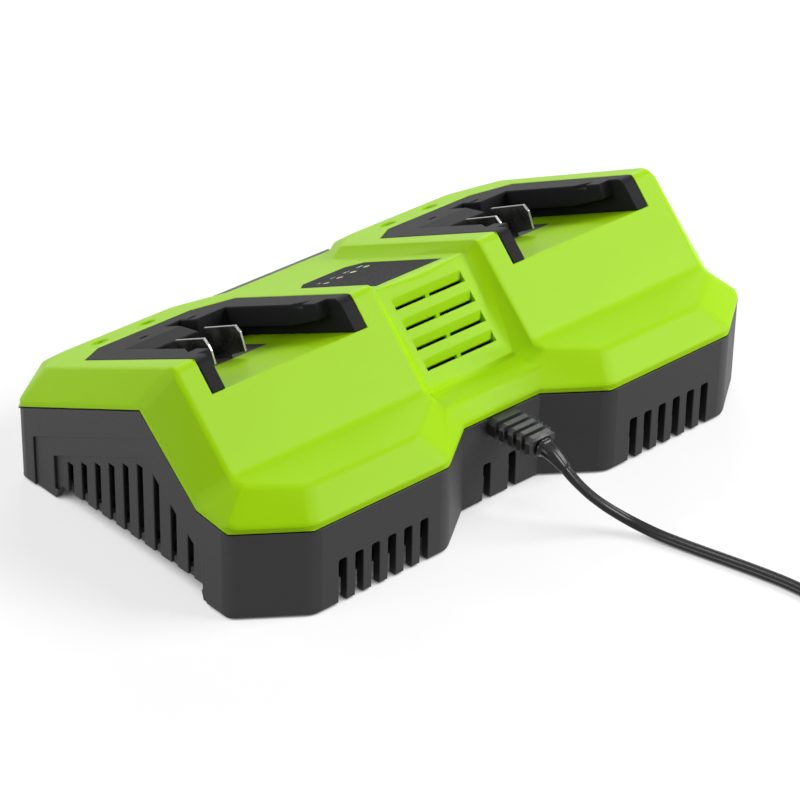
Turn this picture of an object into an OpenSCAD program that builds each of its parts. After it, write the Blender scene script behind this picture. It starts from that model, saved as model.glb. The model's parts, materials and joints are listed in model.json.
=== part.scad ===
// Two-bay battery charger: slotted base, faceted cover, two sliding battery bays.
// Millimetres. +X runs along the long side, +Y to the back, +Z up.
// The origin is on the table under the middle of the housing; the cord is not counted.

/* [Housing] */
// length of the housing along X
case_length = 285; // [240:1:330]
// depth of the housing along Y
case_depth = 175.4; // [150:0.2:200]
// height of the sharp ridge over each bay
ridge_height = 89.1; // [75:0.1:105]
// length of one bay along X
bay_length = 124.5; // [112:0.5:132]
// wall of the cover
wall = 2.6; // [2:0.1:3.5]
// wall of the base, cover wall and tongue together
base_wall = 4; // [3.5:0.1:5]
// height of the joint line at the front
front_joint = 39.6; // [32:0.1:46]
// height of the joint line at the back
back_joint = 33.4; // [28:0.1:40]
// shadow groove between cover and base
shadow_gap = 0.6; // [0.3:0.1:1.2]
// upright lip of the cover over the groove
lip_height = 2.6; // [1.5:0.1:4]
// clearance between the tongue of the base and the cover
tongue_fit = 0.15; // [0.1:0.05:0.4]

/* [Plan] */
// width of the sloping corner cuts along X
corner_x = 27.3; // [15:0.1:35]
// depth of the sloping corner cuts along Y
corner_y = 19.6; // [12:0.1:26]
// how far the front of the middle section stands back
middle_setback = 17.3; // [8:0.1:19]

/* [Bay form] */
// distance of the ridge from the front
ridge_y = 66.1; // [55:0.1:80]
// fall of the back slope, height over depth
back_fall = 0.4637; // [0.3:0.01:0.6]
// rise of the front slope, height over depth
front_rise = 1; // [0.7:0.01:1.3]
// distance of the fold between apron and front slope from the front
fold_y = 31.7; // [25:0.1:40]
// rise of the apron, height over depth
apron_rise = 0.12; // [0:0.01:0.3]
// distance of the front edge of the apron from the front
apron_y = 11.5; // [6:0.1:16]
// distance of the back edge of the top from the back
back_edge = 4.7; // [2:0.1:8]

/* [Middle form] */
// how much lower the ridge of the middle section is
middle_drop = 6.1; // [3:0.1:12]
// distance of the middle ridge from the front
middle_ridge_y = 69.5; // [60:0.1:80]
// height of the apron of the middle section
middle_apron = 49.3; // [44:0.1:54]
// distance of the fold of the middle section from the front
middle_fold_y = 35.5; // [28:0.1:42]

/* [Battery bay] */
// depth of the channel floor under the back slope
channel_depth = 14.6; // [11:0.1:18]
// width over the black rail frame
frame_width = 79.4; // [70:0.1:90]
// width of the channel between the arms
channel_width = 66.2; // [56:0.1:72]
// width between the overhanging rails
rail_gap = 53.6; // [44:0.1:60]
// height of the undercut groove below the rails
groove_height = 5.6; // [3:0.1:8]
// length of the rail frame along the slope
frame_length = 98.7; // [85:0.1:105]
// start of the back wall of the channel along the slope
channel_end = 75.9; // [65:0.1:82]
// gap between rail frame and cover
frame_gap = 0.25; // [0.1:0.05:0.6]
// width of the contact carrier in the channel floor
carrier_width = 42.6; // [34:0.1:48]
// start of the contact carrier along the slope
carrier_start = 45.1; // [38:0.1:52]
// thickness of the contact blades
blade_thick = 1.2; // [0.8:0.1:2]

/* [Vents] */
// number of slots in each front face of a bay
front_slots = 6; // [3:1:8]
// distance between the front slots
front_pitch = 8.55; // [7:0.05:10]
// width of the front slots
front_slot = 4.2; // [2.5:0.1:5]
// height of the front slots
front_slot_top = 21.1; // [14:0.1:28]
// width of the side slots
side_slot = 3.6; // [2.5:0.1:5]
// width of the louvre pockets in the middle slope
louvre_width = 38; // [28:0.5:42]
// distance between louvres along the slope
louvre_pitch = 9.3; // [8:0.1:12]
// length of one louvre pocket along the slope
louvre_length = 5; // [3:0.1:7]
// depth of the louvre pockets at their lower edge
louvre_deep = 2.9; // [1.5:0.1:3.2]

/* [Label] */
// width of the indicator label
label_width = 36; // [28:0.5:40]
// length of the indicator label along the slope
label_length = 59.6; // [45:0.2:64]

/* [Electrics] */
// thickness of the boards
board_thick = 1.6; // [1:0.1:2.4]
// height of the underside of the power board
board_z = 17; // [14:0.5:22]
// side of the square cooling fan
fan_size = 40; // [30:1:44]
// thickness of the cooling fan
fan_depth = 10; // [8:0.5:15]
// gap between the fan blades and the ring
fan_clearance = 0.6; // [0.4:0.1:1.5]
// gap between the fan axle and its bearing
axle_clearance = 0.05; // [0.02:0.01:0.1]
// diameter of the fan axle
axle_diameter = 3; // [2:0.1:4]

/* [Fixings] */
// shank diameter of the case screws
case_screw = 3; // [2.5:0.1:4]
// shank diameter of the small screws
small_screw = 2.6; // [2:0.1:3]
// gap around each screw shank
screw_fit = 0.05; // [0.03:0.01:0.2]
// diameter of the rubber feet
foot_diameter = 14; // [10:0.5:18]
// how far the feet stand below the base
foot_drop = 0.6; // [0.4:0.1:2]

/* [Cord] */
// width of the flat cord
cord_width = 5.6; // [5:0.1:7]
// thickness of the flat cord
cord_thick = 3.4; // [3:0.1:4]
// diameter of the plug pins
pin_diameter = 4; // [3.5:0.1:5]
// distance between the plug pins
pin_spacing = 18.6; // [17:0.1:20]

/* [Hidden] */
$fn = 48;
half_length = case_length / 2;
bay_half = bay_length / 2;
bay_x = half_length - bay_half;
mid_y = case_depth / 2;
face_half = bay_half - corner_x;
side_end = case_depth - corner_y;
slope_angle = atan(back_fall);
floor_top = 11.5;
floor_under = 9;
joint_knee = [38.5, front_joint + 1.7];
joint_apex = [73, ridge_height - 18.5];
joint_climb = (joint_apex[1] - joint_knee[1]) / (joint_apex[0] - joint_knee[0]);
joint = [
  [0, front_joint], [corner_y, front_joint], joint_knee,
  joint_apex, [side_end, back_joint], [case_depth, back_joint]
];
lip_top = lip_height + shadow_gap;
shadow_depth = 1.2;
tongue_in = wall + tongue_fit;
// the tongue ends below the inner edge of the cover where the joint climbs
tongue_rise = lip_top - 0.41 * wall + 0.4 * tongue_fit
  - joint_climb * (mid_y - joint_knee[0]) * tongue_in / mid_y;
middle_face = middle_setback;
middle_reach = bay_x - 35.25;
middle_back = case_depth - 1.9;
middle_ridge = ridge_height - middle_drop;
middle_slope = (middle_ridge - middle_apron) / (middle_ridge_y - middle_fold_y);
fold_z = ridge_height - front_rise * (ridge_y - fold_y);
edge_y = case_depth - back_edge;
low_z = 18;
// where the channel floor meets the front slope
floor_drop = channel_depth / cos(slope_angle);
seat_y = ridge_y - floor_drop / (front_rise + back_fall);
seat_z = ridge_height - front_rise * (ridge_y - seat_y);
seat_ridge = floor_drop / (front_rise + back_fall) / cos(slope_angle)
  - channel_depth * tan(slope_angle);
frame_corner = [15.5, 12.7];
floor_thick = 2.4;
rail_nose = 13;
carrier_end = carrier_start + 34;
middle_angle = atan(middle_slope);
label_start = 6.5;
label_skin = 0.3;
louvre_start = -11.1;
comb_foot = 6.5;
lens_at = [[-11, 50], [-3.5, 50], [4, 50], [11.5, 50]];
lens_diameter = 2.4;
led_drop = 9;
fan_y = 50;
fan_z = floor_top + fan_size / 2;
hub_radius = 9;
board_x = half_length - 37.5;
board_front = 68;
board_back = 148;
board_top = board_z + board_thick;
board_holes = [for (x = [7 - board_x, board_x - 7]) for (y = [74, 142]) [x, y]];
post_x = half_length - 14.5;
case_holes = [
  [post_x, 62], [-post_x, 62], [post_x - 2, 136], [2 - post_x, 136], [25, 162], [-25, 162]
];
boss_joint = 22;
foot_at = [for (x = [24.5 - half_length, half_length - 24.5]) for (y = [24, 148]) [x, y]];
foot_seat = 3;
relief_z = 35.4;
relief_high = 9.2;
relief_out = 7;
coil_at = [84, -164.3];
coil_radius = 33.5;
coil_half = 11.2;
coil_high = 6.8;
cord_points = [
  [0, -relief_out, 35.2], [0.1, -10.8, 34.6], [0.5, -14.3, 32.9], [1.4, -17.9, 29.8],
  [3.9, -21.9, 24.4], [8.4, -26.1, 17.8], [13.6, -30.3, 12], [18.7, -35.5, 7.3],
  [22.7, -41.9, 4.2], [26, -50.8, 2.5], [30.2, -64.8, 1.9], [34.2, -78.8, 1.8],
  [37.9, -92.8, 1.8], [41, -107.3, 1.8], [42.5, -122.3, 1.8], [43, -136.3, 1.8],
  [42.7, -150.3, 1.8]
];
tail_points = [[97, -206.2, 5.6], [104, -206.2, 6.3], [112, -206.2, 6.85]];
plug_at = tail_points[2];

// ---- helpers ----

// Y counted from the front faces of the bays
module from_front() {
  translate([0, -mid_y, 0]) children();
}

// drawing plane YZ pushed out to both sides along X
module across(half) {
  rotate([90, 0, 90])
    translate([0, 0, -half])
      linear_extrude(height = 2 * half) children();
}

// the frame of one bay's channel floor: Y down the back slope, Z square to it
module on_seat(side) {
  translate([side * bay_x, seat_y, seat_z])
    rotate([-slope_angle, 0, 0]) children();
}

module both() {
  for (side = [-1, 1]) translate([side * bay_x, 0, 0]) children();
}

// a round bar with round joints through a list of points
module wire(points, d) {
  for (i = [1:len(points) - 1]) {
    step = points[i] - points[i - 1];
    translate(points[i - 1])
      rotate([0, acos(step[2] / norm(step)), atan2(step[1], step[0])])
        cylinder(h = norm(step), d = d);
    if (i < len(points) - 1) translate(points[i]) sphere(d = 1.08 * d);
  }
}

function reversed(f) = [for (i = [len(f) - 1:-1:0]) f[i]];

// ---- plan outlines ----

// outline of one bay, drawn in by t towards its middle
function bay_outline(t) = [
  for (p = [
    [face_half, 0], [bay_half, corner_y], [bay_half, side_end], [face_half, case_depth],
    [-face_half, case_depth], [-bay_half, side_end], [-bay_half, corner_y], [-face_half, 0]
  ]) [p[0] * (1 - t / bay_half), mid_y + (p[1] - mid_y) * (1 - t / mid_y)]
];

module plan(t) {
  both() polygon(bay_outline(t));
  translate([-middle_reach, middle_face + t])
    square([2 * middle_reach, case_depth - middle_face - 2 * t]);
}

// everything below the joint line, lifted by up
module below_joint(up) {
  across(half_length + 1)
    polygon(concat([[-1, -2], [-1, front_joint + up]],
      [for (p = joint) [p[0], p[1] + up]],
      [[case_depth + 1, back_joint + up], [case_depth + 1, -2]]));
}

// ---- bay and middle forms ----

function top_z(y) = y > ridge_y ? ridge_height - back_fall * (y - ridge_y)
  : y > fold_y ? ridge_height - front_rise * (ridge_y - y)
  : fold_z - apron_rise * (fold_y - y);

// half of the corners of one bay: top edge, lip edge, underside; t is the wall taken off
function bay_corners(t) = concat(
  [for (p = [
    [bay_half - 13.6, side_end - 1.1], [bay_half - 11.55, ridge_y],
    [bay_half - 12.2, fold_y], [bay_half - 13.3, fold_y - 5.7],
    [face_half - 6.5, apron_y], [face_half - 6.2, edge_y]
  ]) [p[0] - 0.41 * t, mid_y + (p[1] - mid_y) * (1 - t / mid_y), top_z(p[1]) - 1.05 * t]],
  [for (p = [
    [bay_half, side_end], [bay_half, joint_apex[0]], [bay_half, joint_knee[0]],
    [bay_half, corner_y], [face_half, 0], [face_half, case_depth]
  ]) [
    p[0] * (1 - t / bay_half), mid_y + (p[1] - mid_y) * (1 - t / mid_y),
    lookup(p[1], joint) + lip_top - 0.41 * t
  ]],
  [for (p = [[bay_half, side_end], [bay_half, corner_y], [face_half, 0], [face_half, case_depth]])
    [p[0] * (1 - t / bay_half), mid_y + (p[1] - mid_y) * (1 - t / mid_y), low_z - t]]
);

bay_side_faces = [
  [7, 6, 1], [6, 0, 1], [8, 7, 1], [8, 1, 2], [9, 8, 2], [9, 2, 3],
  [10, 9, 3], [10, 3, 4], [6, 11, 0], [11, 5, 0],
  [13, 12, 6, 7], [13, 7, 8], [13, 8, 9], [14, 13, 9, 10], [12, 15, 11, 6]
];
bay_cross_faces = [
  [30, 14, 10, 26], [26, 10, 4, 20], [20, 4, 3, 2, 18, 19], [18, 2, 1, 17],
  [17, 1, 0, 5, 21, 16], [11, 27, 21, 5], [15, 31, 27, 11],
  [12, 13, 14, 30, 29, 28, 31, 15]
];

module bay_form(t) {
  right = bay_corners(t);
  left = [for (p = right) [-p[0], p[1], p[2]]];
  both()
    polyhedron(
      points = concat(right, left),
      faces = concat(
        [for (f = bay_side_faces) reversed(f)],
        [for (f = bay_side_faces) [for (i = f) i + 16]],
        [for (f = bay_cross_faces) reversed(f)]
      ));
}

module middle_form(t) {
  across(middle_reach)
    polygon([
      [middle_face + t, low_z - t],
      [middle_face + t, front_joint + lip_top - 0.41 * t],
      [middle_face + 5.2 + 0.6 * t, middle_apron - t],
      [middle_fold_y + 0.4 * t, middle_apron - t],
      [middle_ridge_y + 0.2 * t, middle_ridge - 1.2 * t],
      [middle_back - t, middle_ridge - back_fall * (middle_back - t - middle_ridge_y) - 1.1 * t],
      [middle_back - t, low_z - t]
    ]);
}

// ---- shapes of the battery channel ----

// outline of the rail frame on the slope, grown by g
module frame_outline(g) {
  w = frame_width / 2 + g;
  polygon([
    [-w, -20], [w, -20], [w, frame_length - frame_corner[1]],
    [w - frame_corner[0], frame_length + g], [frame_corner[0] - w, frame_length + g],
    [-w, frame_length - frame_corner[1]]
  ]);
}

// side profile of the seat between two heights, its front end on the front slope
module seat_profile(low, high) {
  lean = seat_ridge / channel_depth;
  across(frame_width)
    polygon([
      [low * lean, low], [high * lean, high],
      [frame_length + 10, high], [frame_length + 10, low]
    ]);
}

// ---- housing ----

module side_panel_cut() {
  translate([half_length - 1, 0, 0])
    rotate([90, 0, 90])
      linear_extrude(height = 3)
        polygon([[33, -1], [33.6, 21.6], [76, 57], [146, 24.2], [146, -1]]);
  translate([half_length - 2.4, 0, 0])
    rotate([90, 0, 90])
      linear_extrude(height = 4)
        polygon([[36.8, 5], [36.8, 20], [72.9, 49.1], [133.4, 20.6], [133.4, 5]]);
  for (i = [0:5]) side_vent(123.9 - 9.35 * i, 20.9 + 4.35 * i, 0);
  for (i = [0:2]) side_vent(66.8 - 10.6 * i, 43.8 - 8.8 * i, 0.85);
  translate([half_length - base_wall - 1, 0, 0])
    rotate([90, 0, 90])
      linear_extrude(height = base_wall + 2)
        polygon([[36, -1], [38, comb_foot], [130.5, comb_foot], [133.4, -1]]);
}

// slot of the side comb; its top falls towards the front by that slope
module side_vent(y, top, slope) {
  translate([half_length - base_wall - 1, 0, 0])
    rotate([90, 0, 90])
      linear_extrude(height = base_wall + 2)
        polygon([
          [y - side_slot / 2, -1], [y + side_slot / 2, -1],
          [y + side_slot / 2, top], [y - side_slot / 2, top - slope * side_slot]
        ]);
}

module front_vent(x, y, width, top) {
  translate([x - width / 2, y - 1, -1])
    cube([width, base_wall + 3, top + 1 - 1]);
  translate([x - width / 2 + 1, y - 1, top - 2])
    cube([width - 2, base_wall + 3, 2]);
  for (s = [-1, 1])
    translate([x + s * (width / 2 - 1), y - 1, top - 1])
      rotate([-90, 0, 0])
        cylinder(h = base_wall + 3, r = 1);
}

module case_post(p) {
  translate([p[0], p[1], floor_under]) cylinder(h = boss_joint - floor_under, d = 9.5);
}

module base_housing() {
  color("#3c3c3d") from_front() difference() {
    union() {
      base_walls();
      translate([0, 0, floor_under])
        linear_extrude(height = floor_top - floor_under) plan(base_wall - 0.5);
      // drip ribs under the floor, behind the side combs
      for (s = [-1, 1])
        translate([s * (half_length - base_wall - 3.2) - 0.8, 41, comb_foot - 3.6])
          cube([1.6, 88, floor_under - comb_foot + 4.1]);
      for (p = case_holes) case_post(p);
      for (p = board_holes)
        translate([p[0], p[1], floor_top - 0.5])
          cylinder(h = board_z - floor_top + 0.5, d = 7);
      for (p = foot_at)
        translate([p[0], p[1], foot_drop])
          cylinder(h = floor_under - foot_drop + 1, d = foot_diameter + 5);
      for (s = [-1, 1])
        translate([s * (fan_size / 2 + 1.4) - 1.4, fan_y - 2.5, floor_top - 0.5])
          cube([2.8, fan_depth + 5, 26]);
      for (s = [-1, 1])
        for (y = [fan_y - 2.5, fan_y + fan_depth + 0.1])
          translate([s * (fan_size / 2 - 1) - 2.4, y, floor_top - 0.5])
            cube([4.8, 2.4, 12]);
    }
    for (s = [-1, 1]) mirror([s < 0 ? 1 : 0, 0, 0]) side_panel_cut();
    for (side = [-1, 1])
      for (i = [0:front_slots - 1])
        front_vent(side * bay_x + 1 + (i - (front_slots - 1) / 2) * front_pitch,
          0, front_slot, front_slot_top);
    for (x = [-7.6, 6.7]) front_vent(x, middle_face, 4, 18);
    for (p = case_holes) {
      translate([p[0], p[1], 0]) cylinder(h = 14, d = 6.6);
      translate([p[0], p[1], 0]) cylinder(h = 40, d = case_screw + 0.6);
    }
    for (p = board_holes)
      translate([p[0], p[1], floor_under + 1])
        cylinder(h = 20, d = small_screw + 2 * screw_fit);
    for (p = foot_at)
      translate([p[0], p[1], -1]) cylinder(h = foot_seat + 1, d = foot_diameter + 0.4);
    // notch for the strain relief
    translate([-6.5 - 0.3, middle_face - 3, relief_z - 3.6 - 0.3])
      cube([13 + 0.6, base_wall + 6, 30]);
    // air intake under the board
    for (i = [0:6])
      translate([-34.6 + 11 * i, 90, floor_under - 1])
        cube([3.2, 34, floor_top - floor_under + 2]);
    translate([-27, 28, floor_under - 0.1]) cube([54, 20, 0.5]);
  }
}

module base_walls() {
  difference() {
    intersection() {
      translate([0, 0, foot_drop]) linear_extrude(height = 90) plan(0);
      below_joint(0);
    }
    translate([0, 0, -1]) linear_extrude(height = 100) plan(base_wall);
  }
  // rim that shows behind the middle of the cover
  translate([3 - middle_reach, case_depth - 1.6, back_joint - 1])
    cube([2 * middle_reach - 6, 1.6, 1.9]);
  difference() {
    intersection() {
      translate([0, 0, 20]) linear_extrude(height = 80) plan(shadow_depth);
      below_joint(shadow_gap);
    }
    translate([0, 0, -1]) linear_extrude(height = 110) plan(base_wall);
  }
  difference() {
    intersection() {
      translate([0, 0, 20]) linear_extrude(height = 80) plan(tongue_in);
      below_joint(tongue_rise);
    }
    translate([0, 0, -1]) linear_extrude(height = 110) plan(base_wall);
    // no tongue behind the middle section
    translate([-middle_reach - 3, case_depth - 10, back_joint])
      cube([2 * middle_reach + 6, 10, 10]);
  }
}

module louvres() {
  translate([0, middle_ridge_y, middle_ridge])
    rotate([middle_angle, 0, 0])
      for (i = [0:3]) {
        s = louvre_start - louvre_pitch * i;
        across(louvre_width / 2)
          polygon([[s, 1], [s + louvre_length, 1], [s + louvre_length, 0], [s, -louvre_deep]]);
        for (x = [-louvre_width / 2, 1.2])
          translate([x, s, -8]) cube([louvre_width / 2 - 1.2, 1.5, 8]);
      }
}

// thicker skin under the louvre pockets
module louvre_backing() {
  translate([0, middle_ridge_y, middle_ridge]) rotate([middle_angle, 0, 0])
    translate([-louvre_width / 2 - 2, louvre_start - louvre_pitch * 3 - 2, -louvre_deep - 1.5])
      cube([louvre_width + 4, louvre_pitch * 3 + louvre_length, 3]);
}

module on_middle_slope() {
  translate([0, middle_ridge_y, middle_ridge])
    rotate([-slope_angle, 0, 0]) children();
}

module label_outline(g) {
  w = label_width / 2 + g;
  polygon([
    [-w, label_start - g], [w, label_start - g], [w, label_start + label_length - 6.5],
    [w - 6.5, label_start + label_length + g], [6.5 - w, label_start + label_length + g],
    [-w, label_start + label_length - 6.5]
  ]);
}

module cover_bosses() {
  intersection() {
    for (p = case_holes) translate([p[0], p[1], boss_joint]) cylinder(h = 70, d = 8);
    union() {
      bay_form(0.5);
      middle_form(0.5);
    }
  }
  on_middle_slope()
    for (x = [-15, 15])
      translate([x, 41, -led_drop]) cylinder(h = led_drop - 0.5, d = 5);
}

module top_cover() {
  color("#9fd61f") from_front() difference() {
    union() {
      difference() {
        union() {
          bay_form(0);
          middle_form(0);
        }
        bay_form(wall);
        middle_form(wall);
        below_joint(shadow_gap);
      }
      // seat of the rail frames
      intersection() {
        union() for (side = [-1, 1]) on_seat(side) intersection() {
          translate([0, 0, -floor_thick])
            linear_extrude(height = channel_depth + floor_thick + 2) frame_outline(2.2);
          seat_profile(-floor_thick, channel_depth + 2);
        }
        union() {
          bay_form(0.4);
          middle_form(0.4);
        }
      }
      cover_bosses();
      louvre_backing();
    }
    for (side = [-1, 1]) on_seat(side) {
      intersection() {
        linear_extrude(height = channel_depth + 8) frame_outline(frame_gap);
        seat_profile(0, channel_depth + 8);
      }
      translate([-carrier_width / 2 - 0.1, carrier_start, -6])
        cube([carrier_width + 0.2, carrier_end - carrier_start, 7]);
      for (x = [-36, 36]) for (v = [40, 70])
        translate([x, v, -6]) cylinder(h = 7, d = small_screw + 0.6);
      // recesses behind the frame
      for (x = [-16.5, 8.4])
        translate([x, frame_length + 10.5, channel_depth - 2]) cylinder(h = 4, d = 8);
    }
    louvres();
    on_middle_slope() {
      translate([0, 0, -label_skin]) linear_extrude(height = 3) label_outline(0.15);
      for (p = lens_at) translate([p[0], p[1], -8]) cylinder(h = 9, d = lens_diameter + 0.2);
      for (x = [-15, 15])
        translate([x, 41, -led_drop - 1])
          cylinder(h = 6, d = small_screw + 2 * screw_fit);
    }
    for (p = case_holes)
      translate([p[0], p[1], boss_joint - 1])
        cylinder(h = 13, d = case_screw + 2 * screw_fit);
  }
}

// ---- battery bays ----

module rail_frame(side) {
  color("#47474a") from_front() on_seat(side) difference() {
    intersection() {
      linear_extrude(height = channel_depth) frame_outline(0);
      seat_profile(0, channel_depth);
    }
    // channel between the rails, wide at the front
    translate([0, 0, -1])
      linear_extrude(height = channel_depth + 2)
        polygon([
          [-channel_width / 2, -10], [channel_width / 2, -10], [channel_width / 2, rail_nose],
          [rail_gap / 2, rail_nose], [rail_gap / 2, channel_end], [3, channel_end], [3, 63.8],
          [-rail_gap / 2, 63.8], [-rail_gap / 2, rail_nose], [-channel_width / 2, rail_nose]
        ]);
    // scoop in the top of each rail behind its nose
    for (s = [-1, 1])
      mirror([s < 0 ? 1 : 0, 0, 0])
        translate([0, 0, channel_depth - 1.5])
          linear_extrude(height = 3)
            polygon([
              [rail_gap / 2 - 1, rail_nose + 8.8], [rail_gap / 2 + 4.6, rail_nose + 8.8],
              [rail_gap / 2 - 1, rail_nose + 19.2]
            ]);
    // lead-in under the nose
    across_part(-channel_width / 2, channel_width / 2)
      polygon([
        [rail_nose - 1, groove_height - 1], [rail_nose - 1, groove_height + 2.1],
        [rail_nose + 20, groove_height], [rail_nose + 20, groove_height - 1]
      ]);
    // undercut grooves
    translate([-channel_width / 2, -10, -1])
      cube([channel_width, 73.8, groove_height + 1]);
    translate([3, 60, -1])
      cube([channel_width / 2 - 3, channel_end - 60, groove_height + 1]);
    // sloping top of the stop beside the latch
    across_part(-rail_gap / 2, 3)
      polygon([[62, 11.8], [76, channel_depth + 0.1], [62, channel_depth + 0.1]]);
    // latch pocket
    translate([3, channel_end - 1, channel_depth - 9]) cube([8, 12.9, 10]);
    for (x = [-13.3, 12]) translate([x, 81.5, channel_depth - 0.4]) cube([4, 2.6, 1]);
    for (x = [-36, 36]) for (v = [40, 70])
      translate([x, v, -1]) cylinder(h = 9, d = small_screw + 2 * screw_fit);
  }
}

// drawing plane YZ pushed from x0 to x1
module across_part(x0, x1) {
  translate([x0, 0, 0])
    rotate([90, 0, 90])
      linear_extrude(height = x1 - x0) children();
}

module rail_frame_left() {
  rail_frame(-1);
}

module rail_frame_right() {
  rail_frame(1);
}

module contact_carrier(side) {
  color("#242426") from_front() on_seat(side) difference() {
    union() {
      translate([-carrier_width / 2, carrier_start + 0.1, -8])
        cube([carrier_width, carrier_end - carrier_start - 0.2, 8]);
      translate([-carrier_width / 2 - 2, carrier_start - 2, -floor_thick - 2])
        cube([carrier_width + 4, carrier_end - carrier_start + 4, 2]);
    }
    for (x = [-11, 4])
      translate([x - blade_thick / 2, 47, -20]) cube([blade_thick, 13, 30]);
  }
}

module contact_carrier_left() {
  contact_carrier(-1);
}

module contact_carrier_right() {
  contact_carrier(1);
}

module blade_pair(side) {
  color("#8d8f90") from_front() on_seat(side) {
    across_part(-11 - blade_thick / 2, -11 + blade_thick / 2)
      polygon([
        [47, -11], [47, 1.4], [36.6, 2.2], [36.6, 8.1], [37.5, 10.7], [39.3, 13.6],
        [60, 13.1], [60, -11]
      ]);
    across_part(4 - blade_thick / 2, 4 + blade_thick / 2)
      polygon([
        [47, -11], [47, 1.4], [35.4, 2.6], [35.3, 11], [37.5, 13.9], [60, 13.3], [60, -11]
      ]);
  }
}

module contact_blades_left() {
  blade_pair(-1);
}

module contact_blades_right() {
  blade_pair(1);
}

// ---- label and lights ----

module indicator_label() {
  color("#39393b") from_front() on_middle_slope()
    translate([0, 0, -label_skin]) linear_extrude(height = label_skin) label_outline(0);
}

module status_lenses() {
  color("#e8efe6") from_front() on_middle_slope()
    for (p = lens_at)
      translate([p[0], p[1], -led_drop + 0.8])
        cylinder(h = led_drop - 0.8 - label_skin, d = lens_diameter);
}

module led_board() {
  color("#1f5a36") from_front() on_middle_slope() {
    difference() {
      translate([-19, 30, -led_drop - board_thick]) cube([38, 26, board_thick]);
      for (x = [-15, 15])
        translate([x, 41, -led_drop - 5]) cylinder(h = 8, d = small_screw + 0.3);
    }
    for (p = lens_at)
      translate([p[0] - 1.6, p[1] - 1, -led_drop]) cube([3.2, 2, 0.8]);
  }
}

// ---- power electronics ----

module power_board() {
  color("#1f5a36") from_front() difference() {
    translate([-board_x, board_front, board_z])
      cube([2 * board_x, board_back - board_front, board_thick]);
    for (p = board_holes)
      translate([p[0], p[1], board_z - 1]) cylinder(h = 4, d = small_screw + 0.3);
  }
}

module transformer_core() {
  color("#55534f") from_front() difference() {
    translate([-21, 80, board_top + 2]) cube([42, 12, 26]);
    for (x = [-15, 6.5])
      translate([x, 79, board_top + 6]) cube([8.5, 14, 18]);
  }
}

module transformer_winding() {
  color("#d9b44a") from_front() difference() {
    union() {
      translate([-15, 74, board_top + 6]) cube([30, 24, 18]);
      for (z = [board_top + 5.98 - 4, board_top + 24])
        translate([-15, 74, z]) cube([30, 5.98, 4.02]);
      translate([-14, 75, board_top]) cube([28, 4, 3]);
      translate([-14, 93, board_top]) cube([28, 4, 7]);
    }
    translate([-6.5, 70, board_top + 5]) cube([13, 30, 20]);
  }
}

module bulk_capacitor() {
  color("#2b3140") from_front() translate([-41, 98, board_top]) {
    cylinder(h = 28, d = 25);
    translate([0, 0, 28]) cylinder(h = 0.6, d = 22);
  }
}

module output_capacitors() {
  color("#39425a") from_front()
    for (x = [32, 47]) translate([x, 136, board_top]) cylinder(h = 13, d = 10);
}

module heat_sink() {
  color("#b9bcc0") from_front() {
    translate([34, 86, board_top]) cube([58, 3, 26]);
    for (i = [0:7]) translate([34 + 8 * i, 88.5, board_top + 3]) cube([2, 7.5, 18]);
  }
}

module power_transistors() {
  color("#2a2a2c") from_front()
    for (x = [44, 74]) {
      translate([x, 81.5, board_top + 5]) cube([10, 4.5, 15]);
      for (i = [0:2])
        translate([x + 2 + 2.54 * i, 83, board_top]) cube([0.9, 0.9, 5.5]);
    }
}

module mains_choke() {
  color("#b06a2c") from_front() translate([-88, 88, board_top])
    rotate_extrude() translate([5, 0]) square([7, 11]);
}

module mains_fuse() {
  color("#d8dcd8") from_front() translate([-96, 112, board_top]) {
    translate([0, 0, 4]) rotate([-90, 0, 0]) cylinder(h = 20, d = 5.2);
    for (y = [0, 16]) translate([-3, y, 0]) cube([6, 4, 2.5]);
  }
}

module mains_terminal() {
  color("#2e6a3c") from_front() difference() {
    translate([-37, board_front + 2, board_top]) cube([14, 10, 12]);
    for (x = [-33.5, -26.5])
      translate([x, board_front + 7, board_top + 8]) cylinder(h = 5, d = 3.4);
  }
}

// ---- cooling fan ----

module on_fan_axis() {
  translate([0, fan_y, fan_z]) rotate([-90, 0, 0]) children();
}

module fan_frame() {
  ring = fan_size / 2 - 1.4;
  color("#2c2c2e") from_front() on_fan_axis() {
    difference() {
      translate([-fan_size / 2, -fan_size / 2, 0]) cube([fan_size, fan_size, fan_depth]);
      translate([0, 0, -1]) cylinder(h = fan_depth + 2, r = ring);
      for (x = [-1, 1]) for (y = [-1, 1])
        translate([x * (fan_size / 2 - 3.2), y * (fan_size / 2 - 3.2), -1])
          cylinder(h = fan_depth + 2, d = 3.2);
    }
    difference() {
      union() {
        translate([0, 0, fan_depth - 2.2]) cylinder(h = 2.2, r = hub_radius);
        for (a = [0:90:270])
          rotate([0, 0, a + 20])
            translate([hub_radius - 1, -1.5, fan_depth - 1.6])
              cube([ring - hub_radius + 1.5, 3, 1.6]);
      }
      translate([0, 0, fan_depth - 4])
        cylinder(h = 6, d = axle_diameter + 2 * axle_clearance);
    }
  }
}

module fan_rotor() {
  tip = fan_size / 2 - 1.4 - fan_clearance;
  color("#1f1f21") from_front() on_fan_axis() {
    translate([0, 0, 1]) cylinder(h = fan_depth - 3.6, r = hub_radius);
    translate([0, 0, fan_depth - 3]) cylinder(h = 3, d = axle_diameter);
    intersection() {
      translate([0, 0, 1]) cylinder(h = fan_depth - 3.6, r = tip);
      for (a = [0:360 / 7:359])
        rotate([0, 0, a])
          translate([hub_radius - 1.5, 0, fan_depth / 2 - 0.8])
            rotate([38, 0, 0]) translate([0, -0.6, -5]) cube([tip, 1.2, 10]);
    }
  }
}

// ---- leads ----

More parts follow.
